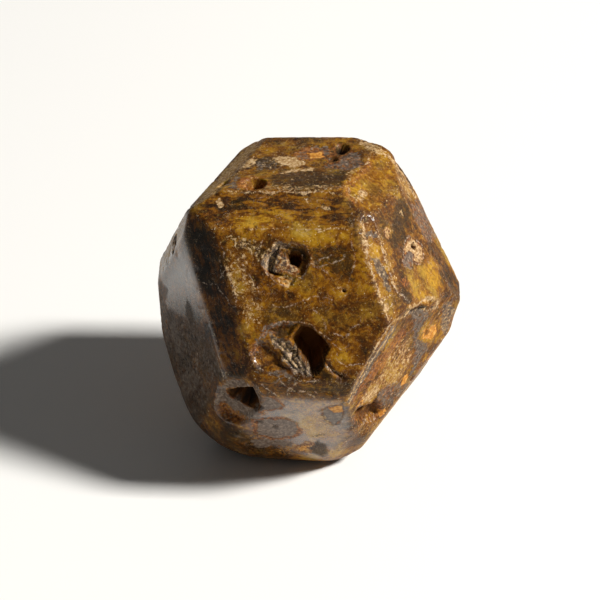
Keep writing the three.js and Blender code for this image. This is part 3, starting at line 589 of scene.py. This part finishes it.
def layered(points, scale, octaves, seed):
    """Noise of several scales: each layer is half as large and half as strong as the one before."""
    total = sum(noise(points, scale / 2 ** i, seed + i) / 2 ** i for i in range(octaves))
    return total / (2 - 2.0 ** (1 - octaves))


def smooth_step(low, high, value):
    """3t^2 - 2t^3 of how far value has gone from low to high."""
    t = np.clip((value - low) / (high - low), 0, 1)
    return t * t * (3 - 2 * t)


# ---- Planes and face frames ------------------------------------------------------------------------

def looking(azimuth, elevation):
    """The unit vector of an azimuth and elevation: (cos a cos e, sin a cos e, sin e)."""
    a, e = np.radians([azimuth, elevation])
    return np.array([np.cos(a) * np.cos(e), np.sin(a) * np.cos(e), np.sin(e)])


SMALLEST_CROSS = 0.004  # square millimetres: twice the area of the least triangle that counts
PLANE_SLACK = 0.01  # millimetres that a corner may stand outside a plane that bounds the solid
SAME_WAY = 0.9998  # cosine above which two planes are one


def packed_planes():
    """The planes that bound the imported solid, in millimetres from the heart: the planes of those
    triangles that have no corner of the solid outside them, one for each direction."""
    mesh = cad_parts[CRYSTAL].data
    mesh.calc_loop_triangles()
    corners = np.empty(len(mesh.vertices) * 3)
    mesh.vertices.foreach_get("co", corners)
    corners = corners.reshape(-1, 3) / MM - HEART
    index = np.empty(len(mesh.loop_triangles) * 3, int)
    mesh.loop_triangles.foreach_get("vertices", index)
    a, b, c = corners[index.reshape(-1, 3)].transpose(1, 0, 2)
    across = np.cross(b - a, c - a)
    size = np.linalg.norm(across, axis=1)
    kept = size > SMALLEST_CROSS
    normals = across[kept] / size[kept, None]
    distances = np.sum(normals * a[kept], axis=1)
    outer = (corners @ normals.T - distances).max(axis=0) < PLANE_SLACK
    normals, distances, size = normals[outer], distances[outer], size[kept][outer]
    chosen = []
    for i in np.argsort(-size):
        if all(normals[i] @ normals[j] < SAME_WAY for j in chosen):
            chosen.append(i)
    return normals[chosen], distances[chosen]


class Face:
    """A face's own frame: points turn into millimetres to its right, up it, and out of it."""

    def __init__(self, direction, normals, distances):
        best = int(np.argmax(normals @ direction))
        self.out = normals[best]
        self.distance = distances[best]
        right = np.cross([0, 0, 1.0], self.out)
        if np.linalg.norm(right) < 0.1:
            right = np.array([1.0, 0, 0])
        right -= self.out * (right @ self.out)
        self.right = right / np.linalg.norm(right)
        self.up = np.cross(self.out, self.right)

    def place(self, points):
        """The points as (right, up, out): their products with the three unit vectors, with out
        counted from the face."""
        across = points @ np.stack([self.right, self.up, self.out], axis=1)
        across[..., 2] -= self.distance
        return across


NORMALS, DISTANCES = packed_planes()
FRAMES = {name: Face(looking(*aim), NORMALS, DISTANCES) for name, aim in FACES.items()}


# ---- The field -------------------------------------------------------------------------------------

def line_distance(points, line):
    """How far flat points are from an open line: the least distance to its straight parts."""
    line = np.asarray(line, float)
    least = np.full(len(points), np.inf)
    for start, end in zip(line[:-1], line[1:]):
        side = end - start
        away = points - start
        along = np.clip(away @ side / (side @ side), 0, 1)
        least = np.minimum(least, np.linalg.norm(away - along[:, None] * side, axis=1))
    return least


def outline_distance(points, outline):
    """How far flat points are outside an outline, or inside it below 0: the least distance to its
    sides, with the sign from how many sides a line from the point crosses."""
    ring = np.concatenate([outline, outline[:1]])
    inside = np.zeros(len(points), bool)
    for start, end in zip(ring[:-1], ring[1:]):
        straddles = (start[1] > points[:, 1]) != (end[1] > points[:, 1])
        slope = (end[0] - start[0]) / ((end[1] - start[1]) or 1e-9)
        inside ^= straddles & (points[:, 0] < start[0] + slope * (points[:, 1] - start[1]))
    least = line_distance(points, ring)
    return np.where(inside, -least, least)


def pit_distance(points, pit, wobble):
    """How far points are outside a pit: the greater of their distance outside its outline, which
    shrinks by the lean with depth, and their distance below its floor."""
    face, outline, depth, lean, ragged = pit
    local = FRAMES[face].place(points)
    wall = outline_distance(local[:, :2] + wobble * ragged, outline) - lean * local[:, 2]
    floor = -(local[:, 2] + depth + wobble[:, 0] * ragged)
    return np.maximum(wall / np.hypot(1, lean), floor)


def smooth_max(a, b, radius):
    """The greater of two fields, rounded where they are nearly equal: plus h^2 / 4r, where h is how
    much of the radius the difference leaves."""
    h = np.maximum(radius - np.abs(a - b), 0)
    return np.maximum(a, b) + h * h / (4 * radius)


def bluntness(points):
    """Extra rounding in millimetres, which grows towards the low left corner and the foot:
    0.45 exp(-(distance / 4.5)^2) for the corner and 0.08 exp(-(height / 1.5)^2) for the foot."""
    low_left = np.exp(-np.sum(((points - LOW_LEFT) / 4.5) ** 2, axis=1))
    foot = np.exp(-((points[:, 2] - FOOT) / 1.5) ** 2)
    return 0.45 * low_left + 0.08 * foot


def crystal_field(points, blunt):
    """About how far points are outside the faces: r log of the sum of exp(gap / r) over the planes'
    gaps, which is the greatest gap with its edges rounded by r."""
    gaps = (points @ NORMALS.T - DISTANCES).astype(np.float32)
    radius = (EDGE_ROUND + blunt)[:, None]
    most = gaps.max(axis=1, keepdims=True)
    spread = np.exp((gaps - most) / radius).sum(axis=1, keepdims=True)
    return (most + radius * np.log(spread))[:, 0]


def cube_distance(points):
    """How far points are outside the small square crystal: a box's distance in the face's frame."""
    local = FRAMES[CUBE_FACE].place(points)
    flat = turned(local[:, :2] - CUBE["middle"], CUBE["turn"])
    box = np.stack([flat[:, 0], flat[:, 1], local[:, 2] - CUBE["top"] + CUBE["half"]], axis=1)
    over = np.abs(box) - CUBE["half"]
    return np.linalg.norm(np.maximum(over, 0), axis=1) + np.minimum(over.max(axis=1), 0)


def carved(field, points, pit, wobble):
    """A field less one pit, where points are near enough to the pit's face for it to matter."""
    face, _, depth, _, _ = pit
    near = FRAMES[face].place(points)[:, 2] > -depth - PIT_MARGIN
    if near.any():
        cut = -pit_distance(points[near], pit, wobble[near])
        field[near] = smooth_max(field[near], cut, LIP_ROUND)
    return field


def full_field(points, blunt, sunk, wobble):
    """The crystal's field moved in by the relief, less the cup, with the small crystal added, less
    every other pit."""
    field = carved(crystal_field(points, blunt) + sunk, points, CUP_PIT, wobble)
    field = np.minimum(field, cube_distance(points))
    for pit in PITS:
        field = carved(field, points, pit, wobble)
    return field


# ---- The grid of rays --------------------------------------------------------------------------------

def panel_rays(axis, sign):
    """One panel's rays on a grid of two angles: (1, tan u, tan v) with both from -45 to 45 degrees,
    in the order that makes the panel face out."""
    angle = np.linspace(-np.pi / 4, np.pi / 4, GRID + 1)
    u, v = np.meshgrid(np.tan(angle), np.tan(angle), indexing="ij")
    rays = np.empty((GRID + 1, GRID + 1, 3))
    rays[..., axis] = sign
    rays[..., (axis + 1) % 3] = u * sign
    rays[..., (axis + 2) % 3] = v
    return rays


def panel_faces(first):
    """The four-sided faces of one panel's grid, counted from its first point."""
    index = first + np.arange((GRID + 1) ** 2).reshape(GRID + 1, GRID + 1)
    corners = [index[:-1, :-1], index[1:, :-1], index[1:, 1:], index[:-1, 1:]]
    return np.stack(corners, axis=-1).reshape(-1, 4)


def closed_grid():
    """The six panels as one closed grid: rays that two panels share are merged into one."""
    panels = [(axis, sign) for axis in range(3) for sign in (1, -1)]
    rays = np.concatenate([panel_rays(*panel).reshape(-1, 3) for panel in panels])
    quads = np.concatenate([panel_faces(i * (GRID + 1) ** 2) for i in range(len(panels))])
    keys = np.round(rays * 1e7).astype(np.int64)
    _, first, same = np.unique(keys, axis=0, return_index=True, return_inverse=True)
    return rays[first], same.reshape(-1)[quads]


def pulled(rays):
    """Unit rays, drawn closer together at the front: each plus a share of the front direction."""
    unit = rays / np.linalg.norm(rays, axis=1, keepdims=True)
    bent = unit + FRONT_PULL * FRONT / np.linalg.norm(FRONT)
    return bent / np.linalg.norm(bent, axis=1, keepdims=True)


def hull_reach(rays):
    """How far each ray goes to the first plane: the least distance / (normal . ray)."""
    facing = rays @ NORMALS.T
    return np.where(facing > 1e-6, DISTANCES / np.maximum(facing, 1e-6), np.inf).min(axis=1)


def march(rays, reach, blunt, sunk, wobble):
    """Walks each ray in from its reach by three quarters of the field until the field is zero."""
    reach = reach.copy()
    active = np.arange(len(rays))
    for _ in range(WALK_STEPS):
        points = rays[active] * reach[active, None]
        field = full_field(points, blunt[active], sunk[active], wobble[active])
        reach[active] -= WALK * field
        active = active[np.abs(field) > NEAR_ENOUGH]
        if not len(active):
            break
    return reach


# ---- What each point is like -----------------------------------------------------------------------

def look_of(name, quality):
    """One quality of a face, or the common one where the face has no look of its own."""
    return LOOKS.get(name, OTHER_LOOK)[QUALITIES.index(quality)]


def face_shares(points):
    """How much each named face owns each point: exp(gap / reach) of its plane's gap, shared out
    with all the solid's planes."""
    gaps = points @ NORMALS.T - DISTANCES
    most = gaps.max(axis=1)
    spread = np.exp((gaps - most[:, None]) / SHARE_REACH).sum(axis=1)
    return {name: np.exp((face.place(points)[:, 2] - most) / SHARE_REACH) / spread
            for name, face in FRAMES.items()}


def blended_look(shares, quality):
    """A quality at each point: the faces' values by their shares, and the common one elsewhere."""
    rest = (1 - sum(shares.values())) * OTHER_LOOK[QUALITIES.index(quality)]
    return rest + sum(share * look_of(name, quality) for name, share in shares.items())


def face_looks(points, shares, wobble):
    """Each quality at each point: the blended looks, then the patches laid over in their order, each
    fading out across its outline and towards the end of its face."""
    looks = {quality: blended_look(shares, quality) for quality in POINT_QUALITIES}
    looks.update({quality: np.zeros(len(points)) for quality in PATCH_QUALITIES})
    for face, patches in PATCHES.items():
        mine = np.flatnonzero(shares[face] > PATCH_SHARE)
        local = FRAMES[face].place(points[mine])[:, :2] + wobble[mine] * PATCH_RAGGED
        owned = np.clip(shares[face][mine] / WHOLE_PATCH_SHARE, 0, 1)
        for outline, amounts in patches:
            away = outline_distance(local, outline)
            for quality, amount in amounts.items():
                fade = FADES.get(quality, SHARP_FADE)
                weight = smooth_step(fade, -fade, away) * owned
                looks[quality][mine] += (amount - looks[quality][mine]) * weight
    return looks


def seam_or_edge_highlight_distance(points, shares, wobble):
    """How far each point is from the nearest seam or painted edge highlight line on its face, up to a
    millimetre.
    """
    nearest = np.ones(len(points))
    for face, seams in SEAMS_AND_EDGE_HIGHLIGHTS.items():
        mine = np.flatnonzero(shares[face] > SEAM_SHARE)
        local = FRAMES[face].place(points[mine])[:, :2] + wobble[mine] * SEAM_RAGGED
        for seam in seams:
            nearest[mine] = np.minimum(nearest[mine], line_distance(local, seam))
    return nearest


def grain_lines(points, shares):
    """The streaks' own coordinates: along and across the streaks of the face that owns the point."""
    names = list(shares)
    owner = np.argmax(np.stack([shares[name] for name in names]), axis=0)
    grain = np.empty((len(points), 3))
    for i, name in enumerate(names):
        mine = owner == i
        local = FRAMES[name].place(points[mine])
        grain[mine, :2] = turned(local[:, :2], look_of(name, "turn"))
        grain[mine, 2] = GRAIN_APART * i
    return grain


def edge_nearness(points):
    """1 on an edge and less away from it: exp(-gap / reach) to the third nearest plane, since each
    edge is worn to a narrow plane of its own."""
    gaps = np.sort(points @ NORMALS.T - DISTANCES, axis=1)
    return np.exp((gaps[:, -3] - gaps[:, -1]) / EDGE_REACH)


def relief(points, shares, grain, edge):
    """How deep the surface lies under its plane, in millimetres: streaky noise and round noise by
    each face's relief, and small chips where two faces meet. None at the foot."""
    streaks = layered(grain * [0.35, 2.2, 1.0], 1.0, 3, NOISE_SEEDS["streaks"])
    lumps = layered(points, 1.1, 4, NOISE_SEEDS["lumps"])
    swell = noise(points, 4.0, NOISE_SEEDS["swell"])
    chips = edge * smooth_step(0.1, 0.7, layered(points, 0.9, 3, NOISE_SEEDS["chips"])) * 0.16
    wave = 0.45 * streaks + 0.4 * lumps + 0.35 * swell
    above_foot = smooth_step(FOOT + 0.05, FOOT + 0.6, points[:, 2])
    return (blended_look(shares, "relief") * (0.6 + wave) + chips) * above_foot


# ---- The crystal's mesh ----------------------------------------------------------------------------

def write_mesh(name, points, quads, numbers, vectors):
    """A mesh object at the origin from points in metres, with its point attributes."""
    mesh = bpy.data.meshes.new(name)
    mesh.from_pydata(points.tolist(), [], quads.tolist())
    mesh.update()
    for key, values in numbers.items():
        attribute = mesh.attributes.new(key, "FLOAT", "POINT")
        attribute.data.foreach_set("value", values.astype(np.float32))
    for key, values in vectors.items():
        attribute = mesh.attributes.new(key, "FLOAT_VECTOR", "POINT")
        attribute.data.foreach_set("vector", values.astype(np.float32).ravel())
    mesh.polygons.foreach_set("use_smooth", np.ones(len(mesh.polygons), bool))
    piece = bpy.data.objects.new(name, mesh)
    bpy.context.scene.collection.objects.link(piece)
    return piece


def crystal():
    """The whole crystal: rays marched to the field's zero, with what each point is like."""
    rays, quads = closed_grid()
    rays = pulled(rays)
    reach = hull_reach(rays)
    skin = rays * reach[:, None]
    shares = face_shares(skin)
    grain = grain_lines(skin, shares)
    edge = edge_nearness(skin)
    wobble = np.stack([layered(skin, 0.7, 3, seed) for seed in NOISE_SEEDS["wobble"]], axis=1)
    sunk = relief(skin, shares, grain, edge)
    points = rays * march(rays, reach, bluntness(skin), sunk, wobble)[:, None]
    numbers = face_looks(skin, shares, wobble)
    numbers["seam"] = seam_or_edge_highlight_distance(skin, shares, wobble)
    numbers["edge"] = edge
    numbers["cavity"] = np.clip(-crystal_field(points, np.zeros(len(points))), 0, 3)
    return write_mesh("crystal", (points + HEART) * MM, quads, numbers, {"grain": grain})


# ---- Shader maths ----------------------------------------------------------------------------------

class Shade:
    """A socket that grows its own Math nodes: 1 - a * b is two nodes."""

    def __init__(self, tree, socket=None):
        self.tree = tree
        self.socket = socket

    def add(self, kind, settings, inputs, output=0):
        """Any node: its settings first, then the value or the link of each input."""
        made = self.tree.nodes.new(kind)
        for key, value in settings.items():
            if key == "stops":
                set_stops(made.color_ramp, value)
            else:
                setattr(made, key, value)
        for key, value in inputs.items():
            if isinstance(value, Shade):
                self.tree.links.new(value.socket, made.inputs[key])
            else:
                made.inputs[key].default_value = value
        return Shade(self.tree, made.outputs[output] if made.outputs else None)

    def maths(self, operation, first, second=0.0):
        """One Math node on two sockets or numbers."""
        return self.add("ShaderNodeMath", {"operation": operation}, {0: first, 1: second})

    def __add__(self, other):
        return self.maths("ADD", self, other)

    __radd__ = __add__

    def __sub__(self, other):
        return self.maths("SUBTRACT", self, other)

    def __rsub__(self, other):
        return self.maths("SUBTRACT", other, self)

    def __mul__(self, other):
        return self.maths("MULTIPLY", self, other)

    __rmul__ = __mul__

    def __abs__(self):
        return self.maths("ABSOLUTE", self)

    def at_least(self, other):
        return self.maths("MAXIMUM", self, other)

    def at_most(self, other):
        return self.maths("MINIMUM", self, other)

    def step(self, low, high):
        """0 below low, 1 above high, and a smooth rise between."""
        settings = {"interpolation_type": "SMOOTHSTEP"}
        return self.add("ShaderNodeMapRange", settings, {0: self, 1: low, 2: high, 3: 0.0, 4: 1.0})

    def stretched(self, x, y, z):
        """A vector with each part multiplied."""
        return self.add("ShaderNodeVectorMath", {"operation": "MULTIPLY"}, {0: self, 1: (x, y, z)})

    def noise(self, scale, detail=4.0, roughness=0.55, distortion=0.0):
        """Noise of this vector, about 0.5 in the middle."""
        inputs = {"Vector": self, "Scale": scale, "Detail": detail, "Roughness": roughness,
                  "Distortion": distortion}
        return self.add("ShaderNodeTexNoise", {}, inputs)

    def ramp(self, *stops):
        """A colour for this value: places and screen colours, blended in straight lines."""
        pairs = [(place, paint(code)) for place, code in stops]
        return self.add("ShaderNodeValToRGB", {"stops": pairs}, {0: self})

    def mixed(self, first, second):
        """The first colour where this is 0 and the second where it is 1. Sockets 6 and 7 and output 2
        are the node's colour ones."""
        return self.add("ShaderNodeMix", {"data_type": "RGBA"}, {0: self, 6: first, 7: second}, output=2)


def set_stops(ramp, stops):
    """A ramp's colours: place and colour of each stop."""
    while len(ramp.elements) < len(stops):
        ramp.elements.new(0.5)
    for element, (place, colour) in zip(ramp.elements, stops):
        element.position = place
        element.color = colour


def paint(code):
    """A six-figure screen colour as the light it gives: ((c + 0.055) / 1.055) ^ 2.4."""
    channels = [int(code[i:i + 2], 16) / 255 for i in (0, 2, 4)]
    return tuple(((c + 0.055) / 1.055) ** 2.4 if c > 0.04 else c / 12.92 for c in channels) + (1.0,)


def new_material(name):
    """An empty node material, and the start that its nodes grow from."""
    material = bpy.data.materials.new(name)
    material.use_nodes = True
    material.node_tree.nodes.clear()
    return material, Shade(material.node_tree)


def finish_off(start, inputs):
    """The shader with its inputs, and the output node that it goes to."""
    shader = start.add("ShaderNodeBsdfPrincipled", {}, inputs)
    start.add("ShaderNodeOutputMaterial", {}, {"Surface": shader})


# ---- The garnet --------------------------------------------------------------------------------------

# Each mineral's colours, from its darkest to its lightest, at places along a texture.
AMBER = ((0.0, "100a04"), (0.20, "2e1702"), (0.40, "573002"), (0.55, "794a05"), (0.70, "90640b"),
         (0.85, "a67b18"), (1.0, "b88f34"))
OLIVE = ((0.0, "14120a"), (0.5, "4b3f14"), (1.0, "8e7c38"))
DARK_STAIN = ((0.35, "180e04"), (0.65, "38260d"))
RUST = ((0.32, "3e1e0a"), (0.50, "7a4318"), (0.68, "b27838"))
GREY_STONE = ((0.30, "3c3129"), (0.50, "5e5248"), (0.70, "887c70"))
PALE_CRUST = ((0.34, "7c5a34"), (0.50, "b08c5e"), (0.66, "d8bc94"))
ORANGE_STONE = ((0.30, "8c4c0e"), (0.50, "c0802c"), (0.70, "dcac62"))
# Also fills the painted highlight lines along edges.
SEAM_AND_HIGHLIGHT_FILL = ((0.35, "8a7060"), (0.65, "cdb9a6"))
DARK_FLECK = "2c1a05"
LIGHT_FLECK = "b08c3e"
VEIN = "a08b78"
HAIR = "b39a76"
CURL = "a8905a"
# Painted highlight: the colour of the painted glints.
GLINT = "dccaa4"
# Painted light and shade in deep pits: a flat warm brown standing in for light glowing through the stone,
# and black where patches set shade.
LIT_DEPTH = "6e4114"
PIT_SHADE_BLACK = "100904"

GRAIN_HEIGHT = 0.12 * MM
COAT = {"Coat Roughness": 0.06, "Coat IOR": 1.85}  # the glassy skin
BODY = {"IOR": 1.45, "Specular IOR Level": 0.2}
SMOOTHEST = 0.15


class Stone:
    """What the garnet's nodes share: coordinates in millimetres, the mesh's attributes and the
    textures that several of its layers use."""

    def __init__(self, start):
        self.start = start
        own_place = start.add("ShaderNodeTexCoord", {}, {}, output=3)  # output 3 is Object
        self.place = own_place.stretched(1 / MM, 1 / MM, 1 / MM)
        self.grain = self.attribute("grain", output=1)
        self.streak = self.attribute("streak")
        self.fine = self.place.noise(3.6, 3.0, 0.62, 0.4)
        self.flecks = self.place.noise(4.4, 3.0, 0.6, 0.4)
        self.blotch = self.place.noise(1.7, 8.0, 0.7, 0.5)
        self.lines = self.grain.stretched(1.2, 4.2, 1.0).noise(1.0, 6.0, 0.64, 0.6)
        self.scribble = self.place.noise(3.0, 6.0, 0.68, 1.2)

    def attribute(self, name, output=2):
        """A point attribute of the mesh: output 2 is a number and 1 is a vector."""
        return self.start.add("ShaderNodeAttribute", {"attribute_name": name}, {}, output=output)

    def drawn_out(self, round_texture, long_texture):
        """The round texture, or the long one as far as the face is streaked."""
        return round_texture * (1 - self.streak) + long_texture * self.streak

    def coverage(self, name, texture, softness, reach):
        """How much a stain covers: its amount pushed up and down by a texture, with a firm edge."""
        return (self.attribute(name) + (texture - 0.5) * reach).step(0.5 - softness, 0.5 + softness)

    def threads(self, low, high, *texture):
        """Thin winding lines, 1 along them: where a noise of those settings is near its middle value."""
        return 1 - abs(self.place.noise(*texture) - 0.5).step(low, high)


def body_colour(stone):
    """The stone itself: dark brown through amber and gold, in clouds and streaks, with some of it
    more olive, and fine flecks both darker and lighter."""
    clouds = stone.place.noise(0.3, 4.0, 0.6, 0.4)
    mottle = stone.place.noise(1.1, 7.0, 0.64, 0.8)
    streaks = stone.grain.stretched(0.6, 2.2, 1.0).noise(1.0, 6.0, 0.64, 0.6)
    texture = stone.drawn_out(mottle, streaks)
    plates = (texture + (clouds - 0.5) * 0.5).step(0.50, 0.525)
    gold = stone.attribute("gold")
    level = (gold + (plates - 0.5) * (0.03 + stone.streak * 0.20)
             + (clouds - 0.5) * 1.1 + (texture - 0.5) * 1.05 + (stone.fine - 0.5) * 0.5)
    greener = stone.place.noise(0.55, 3.0, 0.5).step(0.48, 0.66) * 0.35
    colour = greener.mixed(level.ramp(*AMBER), level.ramp(*OLIVE))
    colour = (stone.flecks.step(0.57, 0.63) * 0.40).mixed(colour, paint(DARK_FLECK))
    light = (1 - stone.flecks.step(0.37, 0.42)) * gold.step(0.15, 0.5)
    return (light * 0.30).mixed(colour, paint(LIGHT_FLECK))


def stained(stone, colour, dark, pale, grey, rust):
    """The colour with each stain and crust laid over the last. The orange mineral lies over all."""
    orange = stone.coverage("orange", stone.blotch, 0.08, 1.0)
    colour = (dark * 0.85).mixed(colour, stone.fine.ramp(*DARK_STAIN))
    colour = (rust * 0.80).mixed(colour, stone.fine.ramp(*RUST))
    colour = (grey * 0.85).mixed(colour, stone.fine.ramp(*GREY_STONE))
    colour = (pale * 0.85).mixed(colour, stone.flecks.ramp(*PALE_CRUST))
    return (orange * 0.95).mixed(colour, stone.fine.ramp(*ORANGE_STONE))


def threaded(stone, colour, seam):
    """The colour with the filled seams and the painted highlight lines along edges, and three kinds of thin
    winding line: broad veins, fine hairs, and tight curls that keep to crusted faces."""
    colour = (seam * 0.55).mixed(colour, stone.fine.ramp(*SEAM_AND_HIGHLIGHT_FILL))
    vein = stone.threads(0.0, 0.010, 0.8, 2.0, 0.5, 2.2) * stone.place.noise(0.6, 2.0).step(0.48, 0.62)
    colour = (vein * 0.5).mixed(colour, paint(VEIN))
    hair = stone.threads(0.002, 0.012, 1.7, 2.0, 0.5, 1.6) * stone.blotch.step(0.50, 0.58)
    colour = (hair * 0.45).mixed(colour, paint(HAIR))
    curls = stone.threads(0.004, 0.022, 1.5, 3.0, 0.55, 2.6)
    curl = curls * stone.attribute("pale").step(0.28, 0.40) * stone.fine.step(0.42, 0.55)
    return (curl * 0.7).mixed(colour, paint(CURL))


def glinting(stone, colour, pale, seam):
    """The colour with painted glints, painted highlights as bright specks: most on edges, crust and seams,
    and a few on golden faces.
    """
    glint_noise = stone.place.noise(6.5, 2.0, 0.5)
    edge = stone.attribute("edge").step(0.3, 0.9)
    where = (edge * stone.blotch.step(0.46, 0.56) + pale * 0.25 + seam).at_most(1.0)
    lit = stone.attribute("gold").step(0.40, 0.60) * (1 - stone.attribute("gloss"))
    glint = glint_noise.step(0.65, 0.70) * where + glint_noise.step(0.69, 0.73) * 0.7 * lit
    return glint.at_most(1.0).mixed(colour, paint(GLINT))


def garnet():
    """Brown and amber garnet with stains, pale crust, other minerals, seams, painted highlight lines along
    edges and painted glints. Pits are painted darker with depth, a flat brown and then black: painted shade.
    Crusted parts are dull and the bare ones glassy."""
    material, start = new_material("garnet")
    stone = Stone(start)
    cavity = stone.attribute("cavity")
    shade = stone.attribute("shade")

    mottle = stone.drawn_out(stone.scribble, stone.lines)
    dark = stone.coverage("dark", mottle * 0.7 + stone.fine * 0.3, 0.13, 2.0)
    pale = stone.coverage("pale", stone.fine * 0.6 + stone.scribble * 0.4, 0.08, 2.0)
    grey = stone.coverage("grey", stone.place.noise(2.6, 6.0, 0.70, 0.6), 0.10, 1.9)
    rust = stone.coverage("rust", stone.place.noise(3.1, 6.0, 0.66, 0.8), 0.10, 1.9)
    broken = stone.blotch.step(0.40, 0.52) * stone.fine.step(0.36, 0.52)
    seam = (1 - (stone.attribute("seam") + (stone.flecks - 0.5) * 0.35).step(0.01, 0.09)) * broken
    # Painted shade: pits are painted a flat brown and then black the deeper they go, and black where patches
    # set shade.
    painted_pit_shade = (cavity + shade * 0.8).step(0.7, 1.7)

    colour = stained(stone, body_colour(stone), dark, pale, grey, rust)
    colour = glinting(stone, threaded(stone, colour, seam), pale, seam)
    # Painted shade and painted glow in the pits.
    colour = (painted_pit_shade * 0.95).mixed(colour, shade.mixed(paint(LIT_DEPTH), paint(PIT_SHADE_BLACK)))

    rough = (stone.attribute("rough") + pale * 0.15 + grey * 0.1 + (stone.fine - 0.5) * 0.3
             + cavity.step(0.15, 0.8) * 0.4)
    dull = (pale + grey * 0.5 + rust * 0.5 + seam).at_most(1.0)
    gloss = stone.attribute("gloss") * (1 - dull * 0.7) * (1 - painted_pit_shade)
    grit = stone.attribute("rough").step(0.38, 0.55) * stone.scribble
    height = (stone.lines * stone.streak * 0.5 + stone.fine * 0.35 + stone.blotch * 0.3 + pale * 0.25
              - dark * 0.1 + grit * 1.2)
    bump = start.add("ShaderNodeBump", {}, {"Strength": 0.5, "Distance": GRAIN_HEIGHT, "Height": height})
    finish_off(start, {"Base Color": colour, "Roughness": rough.at_least(SMOOTHEST), "Normal": bump,
                       "Coat Weight": gloss, **BODY, **COAT})
    return material


# ---- The studio --------------------------------------------------------------------------------------

FLOOR_WIDTH = 3.0  # metres
ROOM_COLOUR = (1.0, 0.98, 0.95, 1.0)
ROOM_STRENGTH = 0.07
KEY_COLOUR = (1.0, 0.985, 0.95)

# The camera: where it stands from the heart, its lens, and how far it leans over. Lens and sensor
# sizes and the distance are in millimetres.
CAMERA = dict(azimuth=-90 + 6.84, elevation=30.56, distance=225.0, lean=3.09, lens=150.0, sensor=36.0)
CAMERA_AIM = (-0.66, -0.83)  # millimetres to the right of the heart and up, across the view
CAMERA_REACH = (0.01, 10.0)  # metres, the nearest and farthest that it sees


def floor_material():
    """A plain pale matt card."""
    material, start = new_material("pale_card")
    finish_off(start, {"Base Color": (0.88, 0.87, 0.85, 1.0), "Roughness": 0.85})
    return material


def floor():
    """A large flat card under the crystal: (u, v, 0) over its whole width each way."""
    side = np.array([-FLOOR_WIDTH / 2, FLOOR_WIDTH / 2])
    u, v = np.meshgrid(side, side, indexing="ij")
    points = np.stack([u.ravel(), v.ravel(), np.zeros(4)], axis=1)
    card = write_mesh("floor", points, np.array([[0, 2, 3, 1]]), {}, {})
    card.data.materials.append(floor_material())


def area_light(name, azimuth, elevation, distance, size, watts, colour=(1, 1, 1)):
    """A square light that looks at the crystal's middle from an azimuth and elevation."""
    lamp = bpy.data.lights.new(name, "AREA")
    lamp.size = size
    lamp.energy = watts
    lamp.color = colour
    holder = bpy.data.objects.new(name, lamp)
    aim = Vector(HEART * MM)
    holder.location = aim + Vector(looking(azimuth, elevation)) * distance
    holder.rotation_euler = (holder.location - aim).to_track_quat("Z", "Y").to_euler()
    bpy.context.scene.collection.objects.link(holder)


def room():
    """Soft even light from the whole room."""
    world = bpy.data.worlds.new("room")
    world.use_nodes = True
    background = world.node_tree.nodes["Background"]
    background.inputs["Color"].default_value = ROOM_COLOUR
    background.inputs["Strength"].default_value = ROOM_STRENGTH
    bpy.context.scene.world = world


def camera():
    """The camera, looking a little past the heart. right = (cos, sin, 0) of the azimuth plus 90,
    up = back x right, and both are turned by the lean."""
    back = looking(CAMERA["azimuth"], CAMERA["elevation"])
    right = looking(CAMERA["azimuth"] + 90, 0)
    up = np.cross(back, right)
    lean = np.radians(CAMERA["lean"])
    side = np.cos(lean) * right - np.sin(lean) * up
    head = np.sin(lean) * right + np.cos(lean) * up
    aim = HEART + CAMERA_AIM[0] * side + CAMERA_AIM[1] * head
    lens = bpy.data.cameras.new("camera")
    lens.lens = CAMERA["lens"]
    lens.sensor_width = CAMERA["sensor"]
    lens.clip_start, lens.clip_end = CAMERA_REACH
    holder = bpy.data.objects.new("camera", lens)
    turn = Matrix(np.stack([side, head, back], axis=1).tolist()).to_4x4()
    holder.matrix_world = Matrix.Translation(Vector((aim + back * CAMERA["distance"]) * MM)) @ turn
    bpy.context.scene.collection.objects.link(holder)
    bpy.context.scene.camera = holder


# ---- Everything together -----------------------------------------------------------------------------

camera()
room()
area_light("key", azimuth=-8, elevation=40, distance=1.2, size=0.20, watts=25.5, colour=KEY_COLOUR)
area_light("back", azimuth=95, elevation=30, distance=0.6, size=0.5, watts=0.16)
floor()

scatter_back()
piece = crystal()
piece.data.materials.append(garnet())
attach(piece, "root")
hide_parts(CRYSTAL)

bpy.context.scene.view_settings.view_transform = "Standard"
